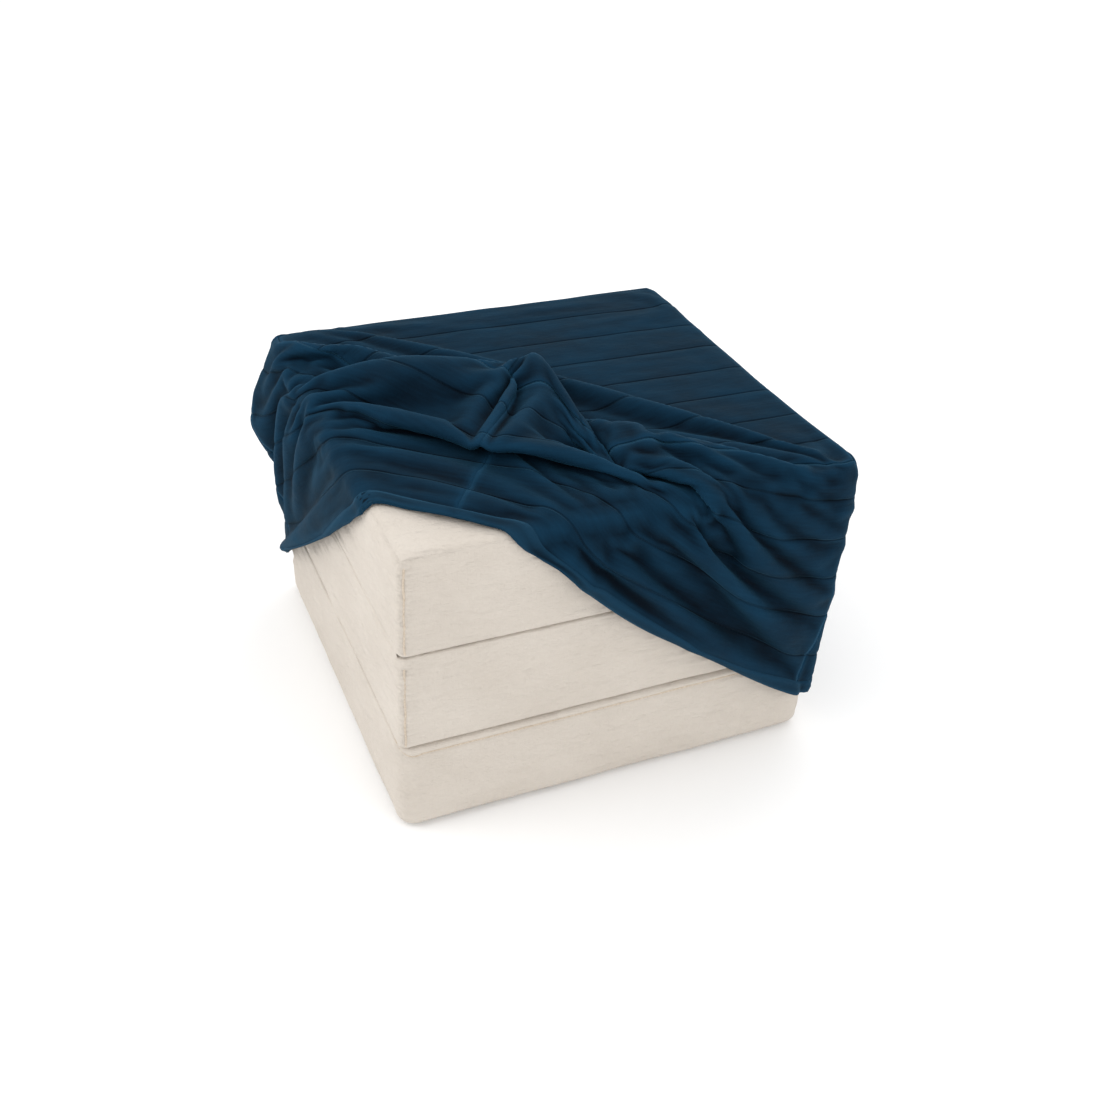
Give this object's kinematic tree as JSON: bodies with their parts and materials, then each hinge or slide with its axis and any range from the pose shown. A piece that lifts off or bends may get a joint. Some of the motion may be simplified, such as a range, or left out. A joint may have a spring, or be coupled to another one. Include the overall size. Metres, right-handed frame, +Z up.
{
  "type": "folding futon mattress",
  "caption": "Folding foam mattress stacked into a square pouf: cotton-cased sections joined by fabric folds, under a loose quilted velvet cover drawn back from one corner.",
  "frame": {"origin": "the middle of the folded mattress's underside, on the floor", "axes": "+Z up; +X along the unfolded length, the way the mattress opens; +Y across the width, away from the side with the drawn-up corner"},
  "size_m": [0.6694, 0.6364, 0.5153],
  "materials": {
    "foam": "matte open-cell foam",
    "wadding": "soft white polyester wadding",
    "cotton": "plain-woven unbleached cotton",
    "seam_thread": "stitched cotton seam",
    "velvet": "quilted petrol blue velvet",
    "velvet_hem": "turned and stitched velvet hem"
  },
  "bodies": {
    "bottom_panel": {"bottom_foam_core": "foam", "bottom_lower_wadding": "wadding", "bottom_upper_wadding": "wadding", "bottom_casing": "cotton", "bottom_casing_base": "cotton", "bottom_closing_seam": "seam_thread", "lower_fold_gusset": "cotton"},
    "middle_panel": {"middle_foam_core": "foam", "middle_lower_wadding": "wadding", "middle_upper_wadding": "wadding", "middle_casing": "cotton", "middle_casing_base": "cotton", "middle_corner_seams": "seam_thread"},
    "top_panel": {"top_foam_core": "foam", "top_lower_wadding": "wadding", "top_upper_wadding": "wadding", "top_casing": "cotton", "top_casing_base": "cotton", "top_corner_seams": "seam_thread", "upper_fold_gusset": "cotton"},
    "cover": {"cover_top": "velvet", "cover_front_skirt": "velvet", "cover_right_skirt": "velvet", "cover_back_skirt": "velvet", "cover_left_skirt": "velvet", "cover_corner_fold": "velvet", "cover_hem": "velvet_hem"}
  },
  "joints": [
    {"name": "lower_fold", "type": "hinge", "parent": "bottom_panel", "child": "middle_panel", "pos_m": [0.3195, 0, 0.151], "axis": [0, 1, 0], "range_deg": [0, 180], "deforming": ["lower_fold_gusset", "cover_front_skirt", "cover_right_skirt", "cover_back_skirt", "cover_left_skirt", "cover_hem"]},
    {"name": "upper_fold", "type": "hinge", "parent": "middle_panel", "child": "top_panel", "pos_m": [-0.3195, 0, 0.303], "axis": [0, -1, 0], "range_deg": [0, 180], "deforming": ["upper_fold_gusset"]},
    {"name": "cover_lift", "type": "slide", "parent": "top_panel", "child": "cover", "axis": [0, 0, 1], "range_m": [0, 0.5]}
  ],
  "couplings": [
    {"joint": "upper_fold", "follows": "lower_fold", "ratio": 1}
  ]
}
